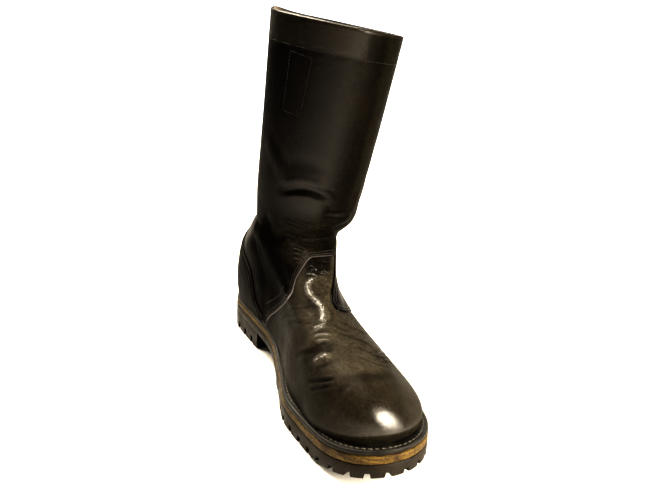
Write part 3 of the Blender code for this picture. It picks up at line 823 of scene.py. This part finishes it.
def make_lining(material):
    s = np.linspace(0, TOP_SECTION, 90)[:, None] + np.zeros((1, 140))
    turn = np.broadcast_to(whole_turn(140) - math.pi, s.shape)
    points = shell(s, turn, np.full(s.shape, -WALL - LINING_GAP))
    pale = bell(np.degrees(turn).ravel(), -122, 16)
    values = {"facing": fade(s.ravel(), 11.45, 11.47) * (1 - 0.8 * pale)}
    faces = grid_faces(*s.shape, closed=True, flipped=True)
    add_piece("lining", points, faces, material, values=values)


def make_counter(material):
    """Heel panel with rounded upper and front edges."""
    across, side = rounded(COUNTER_ROUND, np.linspace(0.03, 0.97, 150))
    up, rise = rounded(COUNTER_ROUND, np.linspace(0, 0.965, 70), start=False)
    turn = COUNTER_START + across * (360 - 2 * COUNTER_START)
    top = curve(COUNTER_LINE, np.minimum(turn, 360 - turn))
    s = COUNTER_FOOT + up[:, None] * (top - COUNTER_FOOT)[None]
    angle = np.broadcast_to(np.radians(turn), s.shape)
    flat = surface(s, angle)
    spots = flat.reshape(-1, 3)
    stand = (rise[:, None] * side[None]).ravel()
    height = (COUNTER_GAP + COUNTER_THICK) * stand + sewn(spots, ("counter",))
    outer = np.tile(fade(turn, 202, 172), len(s))
    values = {
        "skin": skin_grid(flat),
        "gloss": 0.03 + 0.15 * outer,
        "wrinkle": np.full(s.size, 0.2),
        "wear_and_shade": 0.08 * outer,
        "edge": 0.12 * (1 - stand),
    }
    points = raise_from(spots, s, angle, height)
    faces = grid_faces(*s.shape)
    add_piece("counter_panel", points, faces, material, "counter", values, sharp=60)


def make_pull_loop(name, side, material):
    """Strap sewn to the inner face of the shaft, with rounded edges."""
    across, thick = rounded(LOOP_ROUND, np.linspace(0.2, 0.8, 8))
    up = np.linspace(0, 1, 40)
    ends = fade(up, 0, 0.03) * fade(up, 1, 0.97)
    angle = side * np.radians(np.interp(across, (0, 1), LOOP_ANGLES))
    s = np.interp(up, (0, 1), LOOP_SECTIONS)[:, None] + np.zeros((1, len(across)))
    height = -WALL - LOOP_SINK - (COUNTER_GAP + LOOP_THICK - LOOP_SINK) * ends[:, None] * thick[None]
    points = shell(s, np.broadcast_to(angle, s.shape), height)
    faces = grid_faces(*s.shape, flipped=side > 0)
    values = {"skin": skin_grid(points)}
    add_piece(name + "_strap", points, faces, material, name, values)


def standing(ring, height):
    """Points of a flat ring at the heights that a function of x gives."""
    return np.column_stack([ring, height(ring[:, 0])])


def ring_band(profile):
    """Closed band round the sole. The profile holds distances inwards, faces and heights above them."""
    loop = even_outline(400)
    rings = []
    for distance, face, lift in profile:
        rings.append(standing(inset(loop, distance), face) + (0, 0, lift))
    faces = np.array(grid_faces(len(rings) + 1, len(loop), closed=True)) % (len(rings) * len(loop))
    return np.stack(rings), faces.tolist()


def make_welt(material):
    points, faces = ring_band([(distance, midsole_top, GAP + lift) for distance, lift in WELT_PROFILE])
    add_piece("welt_strip", points, faces, material, "welt", sharp=50)


def make_midsole(material):
    profile = [(distance, midsole_top, -drop) for distance, drop in MIDSOLE_PROFILE + (MIDSOLE_MIDDLE,)]
    profile += [(distance, midsole_base, lift) for distance, lift in MIDSOLE_PROFILE[::-1]]
    points, faces = ring_band(profile)
    add_piece("midsole_edge", points, faces, material, "midsole", sharp=50)


def make_insole(material):
    """Footbed on the insole board, a little lower in its middle."""
    count = 240
    hollow = shell(np.zeros(count), whole_turn(count), np.full(count, -WALL))[:, :2]
    loop = inset(hollow, INSOLE_INSET)
    x = np.clip(loop[:, 0], *FOOTBED_SPINE)
    spine = np.stack([x, curve(FOOT_AXIS, x)], -1)
    rings = [standing(loop, midsole_top) + (0, 0, GAP)]
    for share in FOOTBED_SHARES:
        drop = FOOTBED_HOLLOW * fade(share, 0, 0.5) + FOOTBED_EDGE * (share == 0)
        rings.append(standing(loop + (spine - loop) * share, feather_height) + (0, 0, INSOLE_THICK - drop))
    faces = grid_faces(len(rings), count, closed=True, flipped=True)
    add_piece("footbed", np.stack(rings), faces, material, "insole")


def notched_places(cells):
    """Places along an edge with a close pair at each border, and the cell that each belongs to."""
    places = []
    owners = []
    for number, (start, end) in enumerate(cells):
        count = max(3, int((end - start) / TREAD_STEP))
        places += list(np.linspace(start + NOTCH_SLOPE, end - NOTCH_SLOPE, count))
        owners += [number] * count
    return np.array(places), np.array(owners)


def tread(loop, target, shares, levels, top, material, name, node):
    """Sole piece with lugs: a side wall round the outline, and below it rings towards a target line.

    levels gives for each ring the height function of its lower face.
    """
    rings = [standing(inset(loop, distance), top) - (0, 0, drop) for distance, drop in TREAD_PROFILE]
    low = standing(loop, levels[0])
    side = loop + (target - loop) * TREAD_EDGE * TREAD_BEVEL
    rings += [low + (0, 0, TREAD_LIP), np.column_stack([side, low[:, 2]])]
    for share, level in zip(shares[1:], levels[1:]):
        rings.append(standing(loop + (target - loop) * share, level))
    faces = grid_faces(len(rings), len(loop), closed=True, flipped=True)
    add_piece(name, np.stack(rings), faces, material, node, sharp=38)


def chosen(flags, low, high):
    """Height function that takes low where a column's flag is set, and high elsewhere."""
    return lambda x: np.where(flags, low(x), high(x))


def lug_cells(line):
    """Lugs and notches by turns from the toe tip backwards, then the plain rest of the side."""
    run = line_run(line)
    cells = [(0.0, LUG_LENGTH / 2)]
    while np.interp(cells[-1][1], run, line[:, 0]) > LUG_START:
        width = LUG_NOTCH if len(cells) % 2 else LUG_LENGTH
        cells.append((cells[-1][1], cells[-1][1] + width))
    cells = cells[:len(cells) // 2 * 2]
    return cells + [(cells[-1][1], run[-1])]


def make_outsole(material):
    columns = []
    for side in (1, -1):
        line = side_line(side)
        cells = lug_cells(line)
        last = len(cells) - 1
        spots, owner = notched_places(cells)
        lugs = (owner % 2 == 0) & (owner < last)
        # Inner lugs span two outer ones each, and leave the toe and the last pair free
        inner = (owner > 4) & (owner < last - 2) & np.isin(owner % 4, (0, 1, 2))
        columns.append(np.column_stack([along_line(line, spots), lugs, inner])[::side])
    columns = np.concatenate(columns)
    loop = columns[:, :2]
    x = np.clip(loop[:, 0], *OUTSOLE_SPINE)
    target = np.stack([x, plan(x)[0]], -1)

    def top(x):
        return midsole_base(x) - GAP

    def base(x):
        return top(x) - OUTSOLE_THICK

    edge = chosen(columns[:, 2] > 0, spring, base)
    middle = chosen(columns[:, 3] > 0, spring, base)
    borders = (LUG_REACH, LUG_REACH + LUG_ROW, OUTSOLE_CENTRE)
    flanks = [border + side * LUG_FLANK for border in borders for side in (-1, 1)]
    levels = (edge, edge, edge, base, base, middle, middle, base, base)
    shares = (0, TREAD_EDGE, *flanks, 1)
    tread(loop, target, shares, levels, top, material, "outsole_lugs", "outsole")


def make_heel(material):
    outer, inner = (line[line[:, 0] < HEEL_BREAST] for line in (side_line(1), side_line(-1)))
    arc = np.concatenate([outer, inner[::-1][1:]])
    ratio = LUG_LENGTH / (LUG_LENGTH + LUG_NOTCH)
    pair = line_run(arc)[-1] / (HEEL_PAIRS + ratio)
    cells = []
    for n in range(HEEL_PAIRS + 1):
        cells += [(n * pair, (n + ratio) * pair), ((n + ratio) * pair, (n + 1) * pair)]
    spots, owner = notched_places(cells[:-1])
    loop = along_line(arc, spots)
    breast = loop[-1] + (loop[0] - loop[-1]) * np.linspace(0.02, 0.98, 14)[:, None]
    lugs = np.concatenate([owner % 2 == 0, np.ones(len(breast), bool)])
    loop = np.concatenate([loop, breast])
    target = np.zeros_like(loop) + HEEL_MIDDLE

    def top(x):
        return midsole_base(x) - OUTSOLE_THICK - 2 * GAP

    def floor(x):
        return np.zeros_like(x)

    edge = chosen(lugs, floor, lambda x: np.full_like(x, HEEL_NOTCH_DEPTH))
    shares = (0, TREAD_EDGE, HEEL_RIM - LUG_FLANK, HEEL_RIM + LUG_FLANK, 1)
    levels = (edge, edge, edge, floor, floor)
    tread(loop, target, shares, levels, top, material, "heel_block", "heel")


def thread(name, lines, stitch, material):
    """Stitches along lines of points with their normals, each a short rounded run of thread."""
    length, pitch, radius = stitch
    runs, sizes = np.array(STITCH_STATIONS).T[:, :, None, None]
    turn = whole_turn(STITCH_SIDES)[:, None]
    bow = radius * (STITCH_BOW * (1 - (2 * runs) ** 2) - STITCH_SINK)
    stitches = []
    for line, normal in lines:
        centres = np.arange(pitch / 2, line_run(line)[-1], pitch)
        heads = along_line(line, centres - length / 2)
        tails = along_line(line, centres + length / 2)
        for head, tail, up in zip(heads, tails, along_line(line, centres, normal)):
            axis = unit(tail - head)
            up = unit(up - axis * (up @ axis))
            ring = np.cross(axis, up) * np.cos(turn) + up * np.sin(turn) * STITCH_FLATNESS
            stitches.append((head + tail) / 2 + axis * runs * length + up * bow + sizes * radius * ring)
    rows = len(STITCH_STATIONS)
    faces = []
    for ids in np.arange(len(stitches) * rows * STITCH_SIDES).reshape(-1, rows, STITCH_SIDES).tolist():
        faces += grid_faces(rows, STITCH_SIDES, closed=True, first=ids[0][0]) + [ids[0][::-1], ids[-1]]
    add_piece(name, np.stack(stitches), faces, material, sharp=60)


def make_stitches():
    """Thread of all seams of the upper, and of the welt."""
    groups = {"seam_thread": ("grey_thread", ("vamp",)),
              "shaft_thread": ("dark_thread", ("counter", "strap", "band"))}
    for name, (colour, starts) in groups.items():
        lines = []
        for row, s, angle, offset in SEAM_ROWS:
            if row.startswith(starts):
                lines.append((shell(s, angle, offset - THREAD_SINK), normals(s, angle)))
        thread(name, lines, SEAM_STITCH, thread_material(colour))
    loop = inset(even_outline(600), WELT_FURROW)
    line = standing(np.concatenate([loop, loop[:1]]), midsole_top)
    line = line + (0, 0, GAP + WELT_THICK - WELT_THREAD_SINK)
    up = np.broadcast_to((0.0, 0.0, 1.0), line.shape)
    thread("welt_thread", [(line, up)], WELT_STITCH, thread_material("pale_thread"))


class Nodes:
    """Node tree of one material, with short ways to add nodes."""

    def __init__(self, name):
        self.material = bpy.data.materials.new(name)
        self.material.use_nodes = True
        self.tree = self.material.node_tree
        self.where = self.add("ShaderNodeTexCoord", {}, "Object")

    def feed(self, node, inputs):
        """Inputs of a node by name or number, given as values or as sockets to link from."""
        for key, value in inputs.items():
            if isinstance(value, bpy.types.NodeSocket):
                self.tree.links.new(value, node.inputs[key])
            else:
                node.inputs[key].default_value = value

    def add(self, kind, inputs, output=0, **settings):
        """Output of a new node with its settings and inputs."""
        node = self.tree.nodes.new(kind)
        for key, value in settings.items():
            setattr(node, key, value)
        self.feed(node, inputs)
        return node.outputs[output]

    def finish(self, inputs):
        self.feed(self.tree.nodes["Principled BSDF"], inputs)
        return self.material

    def calculate(self, operation, a, b):
        return self.add("ShaderNodeMath", {0: a, 1: b}, operation=operation)

    def ramp(self, value, low, high, to_low=0, to_high=1):
        """The value from low to high spread over another range, with soft ends."""
        inputs = {"Value": value, "From Min": low, "From Max": high, "To Min": to_low, "To Max": to_high}
        return self.add("ShaderNodeMapRange", inputs, interpolation_type="SMOOTHSTEP")

    def mix(self, factor, first, second):
        """Colour between two, each a socket or three numbers."""
        ends = [end if isinstance(end, bpy.types.NodeSocket) else (*end, 1) for end in (first, second)]
        return self.add("ShaderNodeMix", {0: factor, 6: ends[0], 7: ends[1]}, 2, data_type="RGBA")

    def stretched(self, vector, scale):
        return self.add("ShaderNodeMapping", {"Vector": vector, "Scale": scale})

    def noise(self, scale, detail, vector=None):
        inputs = {"Vector": vector or self.where, "Scale": scale, "Detail": detail}
        return self.add("ShaderNodeTexNoise", inputs)

    def cells(self, scale, vector=None):
        inputs = {"Vector": vector or self.where, "Scale": scale}
        return self.add("ShaderNodeTexVoronoi", inputs, "Distance", feature="DISTANCE_TO_EDGE")

    def attribute(self, name, output="Fac"):
        return self.add("ShaderNodeAttribute", {}, output, attribute_name=name)

    def bump(self, height, depth, strength, under=None):
        inputs = {"Height": height, "Distance": depth, "Strength": strength}
        return self.add("ShaderNodeBump", inputs | ({"Normal": under} if under else {}))


def leather_material(name, level):
    """Waxed black leather: pores, fine wrinkles where it bends, worn edges, polish on toe and instep, and
    painted shade in the wrinkle furrows and creases.
    """
    m = Nodes(name)
    gloss, wrinkle, wear_and_shade, edge = (m.attribute(key) for key in ("gloss", "wrinkle", "wear_and_shade", "edge"))
    cloud = m.noise(38, 5)
    fine = m.noise(420, 3)
    swirl = m.noise(130, 3)
    wavy = {"Fac": 0.0025, "Color1": m.attribute("skin", "Vector"), "Color2": swirl}
    wavy = m.stretched(m.add("ShaderNodeMixRGB", wavy, blend_type="ADD"), (240, 620, 1))
    lines = m.ramp(m.cells(1, wavy), 0, 0.22)
    # Scuffed colour is taken out of the wrinkle furrows, so they show darker: painted shade.
    furrow_shade = m.calculate("MULTIPLY", wrinkle, m.calculate("SUBTRACT", 1, lines))
    scuffs_with_furrow_shade = wear_and_shade
    for share in (m.ramp(fine, 0.25, 0.75, 0.55, 1), m.ramp(swirl, 0.36, 0.66, 0.86, 1.12),
                  m.calculate("SUBTRACT", 1, furrow_shade)):
        scuffs_with_furrow_shade = m.calculate("MULTIPLY", scuffs_with_furrow_shade, share)
    colour = m.mix(m.ramp(cloud, 0.35, 0.7), *COLOURS["leather"])
    colour = m.mix(scuffs_with_furrow_shade, colour, COLOURS["scuff"])
    dull = m.ramp(cloud, 0.3, 0.72, 0.42, 0.55)
    waxed = m.ramp(cloud, 0.3, 0.72, 0.19, 0.27)
    rough = m.add("ShaderNodeMix", {0: m.ramp(gloss, 0, 0.3), 2: dull, 3: waxed})
    normal = m.bump(m.ramp(m.cells(1150), 0, 0.3), 0.00012, 0.3)
    normal = m.bump(fine, 0.0003, 0.3, normal)
    normal = m.bump(m.noise(70, 2), 0.0006, 0.25, normal)
    normal = m.bump(m.calculate("MULTIPLY", lines, wrinkle), 0.0004, 0.9, normal)
    return m.finish({
        "Base Color": m.mix(edge, colour, COLOURS["raw_edge"]),
        "Roughness": m.calculate("ADD", rough, m.calculate("MULTIPLY", scuffs_with_furrow_shade, 0.2)),
        "Specular IOR Level": level, "Specular Tint": COLOURS["sheen"], "Normal": normal,
        "Coat Weight": gloss, "Coat Roughness": 0.13, "Coat Normal": normal})


def strap_material():
    """Matt black leather of the pull straps and the welt."""
    m = Nodes("matt_leather")
    cloud = m.noise(90, 5)
    grain = m.bump(m.cells(900), 0.0002, 0.5)
    return m.finish({
        "Base Color": m.mix(m.ramp(cloud, 0.35, 0.7), *COLOURS["strap"]),
        "Roughness": m.ramp(cloud, 0.3, 0.7, 0.42, 0.62), "Specular IOR Level": 0.13,
        "Normal": m.bump(m.noise(260, 4), 0.0004, 0.5, grain)})


def lining_material():
    """Natural leather lining in patchy tones, with dark facing along its top."""
    m = Nodes("lining_leather")
    cloud = m.noise(45, 6)
    colour = m.mix(m.ramp(cloud, 0.3, 0.7), *COLOURS["lining"])
    return m.finish({
        "Base Color": m.mix(m.attribute("facing"), colour, COLOURS["facing"]),
        "Roughness": m.ramp(cloud, 0.3, 0.7, 0.62, 0.8),
        "Normal": m.bump(m.noise(1400, 2), 0.0002, 0.5)})


def midsole_material():
    """Cut leather edge: tan, in thin layers, with darker burnt and dirty streaks."""
    m = Nodes("tan_edge")
    layers = m.noise(1, 5, m.stretched(m.where, (60, 60, 1500)))
    speck = m.noise(800, 4)
    tan = m.mix(m.ramp(layers, 0.35, 0.65), *COLOURS["tan"])
    tan = m.mix(m.ramp(m.noise(75, 6), 0.5, 0.72), tan, COLOURS["burnt"])
    return m.finish({
        "Base Color": m.mix(m.ramp(speck, 0.54, 0.64), tan, COLOURS["dirt"]),
        "Roughness": m.ramp(speck, 0.3, 0.7, 0.5, 0.75), "Specular IOR Level": 0.15,
        "Normal": m.bump(speck, 0.0003, 0.5, m.bump(layers, 0.0004, 0.6))})


def rubber_material():
    """Moulded black rubber, greyed by dust in random patches and specks."""
    m = Nodes("black_rubber")
    patch = m.noise(60, 6)
    speck = m.noise(1100, 3)
    dust = m.calculate("MULTIPLY", m.ramp(patch, 0.42, 0.75), m.ramp(speck, 0.3, 0.7))
    return m.finish({
        "Base Color": m.mix(dust, *COLOURS["rubber"]),
        "Roughness": m.ramp(patch, 0.3, 0.75, 0.42, 0.68), "Specular IOR Level": 0.12,
        "Normal": m.bump(speck, 0.00025, 0.5)})


def thread_material(name):
    """Twisted waxed thread."""
    m = Nodes(name)
    strands = m.noise(1500, 2)
    return m.finish({
        "Base Color": m.mix(m.ramp(strands, 0.35, 0.65), *COLOURS[name]),
        "Roughness": m.ramp(strands, 0.3, 0.7, 0.45, 0.65), "Specular IOR Level": 0.2,
        "Normal": m.bump(strands, 0.0002, 0.6)})


def floor_material():
    """Smooth pale floor."""
    m = Nodes("pale_floor")
    return m.finish({"Base Color": m.mix(m.noise(3, 3), *COLOURS["floor"]), "Roughness": 0.6})


def backdrop_material():
    """Even white that shows on the inner face alone."""
    m = Nodes("white_backdrop")
    m.tree.nodes.clear()
    glow = m.add("ShaderNodeEmission", {"Strength": BACKDROP_GLOW})
    clear = m.add("ShaderNodeBsdfTransparent", {})
    outside = m.add("ShaderNodeNewGeometry", {}, "Backfacing")
    mixed = m.add("ShaderNodeMixShader", {0: outside, 1: glow, 2: clear})
    m.feed(m.tree.nodes.new("ShaderNodeOutputMaterial"), {"Surface": mixed})
    return m.material


def add_camera():
    data = bpy.data.cameras.new("photo_view")
    data.lens = FOCAL_LENGTH / PHOTO_WIDTH * data.sensor_width
    camera = add_object("photo_view", data)
    camera.matrix_world = Matrix.Translation(Vector(place(CAMERA_PLACE)))
    turns = ((90 - CAMERA_TURN, "Z"), (90 - CAMERA_PITCH, "X"), (-CAMERA_ROLL, "Z"), (-CAMERA_PAN, "Y"))
    for angle, axis in turns:
        camera.matrix_world = camera.matrix_world @ Matrix.Rotation(math.radians(angle), 4, axis)
    bpy.context.scene.camera = camera


def add_light(name, azimuth, elevation, distance, size, power, spread=180, aim=BOOT_MIDDLE):
    """Soft oval light at an azimuth and elevation in degrees from where it aims."""
    a, e = math.radians(azimuth), math.radians(elevation)
    direction = Vector((math.cos(a) * math.cos(e), math.sin(a) * math.cos(e), math.sin(e)))
    data = bpy.data.lights.new(name, "AREA")
    data.shape = "ELLIPSE"
    data.size, data.size_y = size
    data.energy = power
    data.color = COLOURS["light"]
    data.spread = math.radians(spread)
    turn = direction.to_track_quat("Z", "Y").to_matrix().to_4x4()
    add_object(name, data).matrix_world = Matrix.Translation(Vector(place(aim)) + direction * distance) @ turn


def add_floor(material):
    """Floor that rises behind the boot in one sweep."""
    bend = np.linspace(0.1, 1.57, 16)
    depth = np.concatenate([np.linspace(*FLOOR_ENDS, 8), FLOOR_ENDS[1] - FLOOR_SWEEP * np.sin(bend)])
    height = np.concatenate([np.zeros(8), FLOOR_SWEEP * (1 - np.cos(bend)), [FLOOR_TOP]])
    depth = np.append(depth, depth[-1])
    turn = math.radians(CAMERA_TURN)
    back = Vector((math.cos(turn), -math.sin(turn)))
    points = []
    for d, h in zip(depth, height):
        for w in (-FLOOR_HALF, FLOOR_HALF):
            points.append((back.x * d - back.y * w, back.y * d + back.x * w, h))
    mesh = bpy.data.meshes.new("floor")
    mesh.from_pydata(points, [], grid_faces(len(depth), 2))
    mesh.materials.append(material)
    mesh.shade_smooth()
    floor = add_object("floor", mesh)


def add_backdrop(material):
    """White dome round the floor, which neither lights the boot nor shades it."""
    mesh = bpy.data.meshes.new("backdrop")
    dome = bmesh.new()
    bmesh.ops.create_icosphere(dome, subdivisions=5, radius=BACKDROP_RADIUS)
    bmesh.ops.reverse_faces(dome, faces=dome.faces)
    dome.to_mesh(mesh)
    dome.free()
    mesh.materials.append(material)
    backdrop = add_object("backdrop", mesh)
    for kind in ("diffuse", "glossy", "transmission", "shadow"):
        setattr(backdrop, "visible_" + kind, False)


def add_world():
    """Dim warm room light, and colours shown through the standard view with a high contrast look."""
    scene = bpy.context.scene
    scene.world = bpy.data.worlds.new("studio")
    scene.world.use_nodes = True
    background = scene.world.node_tree.nodes["Background"]
    background.inputs["Color"].default_value = COLOURS["room"]
    background.inputs["Strength"].default_value = ROOM_GLOW
    scene.view_settings.view_transform = "Standard"
    scene.view_settings.look = "High Contrast"


def build():
    leather = leather_material("shaft_leather", SHAFT_SPECULAR)
    matt = strap_material()
    lining = lining_material()
    rubber = rubber_material()
    make_vamp(leather_material("vamp_leather", VAMP_SPECULAR))
    make_shaft(leather)
    make_counter(leather)
    make_lining(lining)
    make_pull_loop("pull_loop_medial", -1, matt)
    make_pull_loop("pull_loop_lateral", 1, matt)
    make_insole(lining)
    make_welt(matt)
    make_midsole(midsole_material())
    make_outsole(rubber)
    make_heel(rubber)
    make_stitches()


build()
add_floor(floor_material())
add_backdrop(backdrop_material())
add_world()
for light_name, light_row in LIGHTS.items():
    add_light(light_name, *light_row)
add_camera()
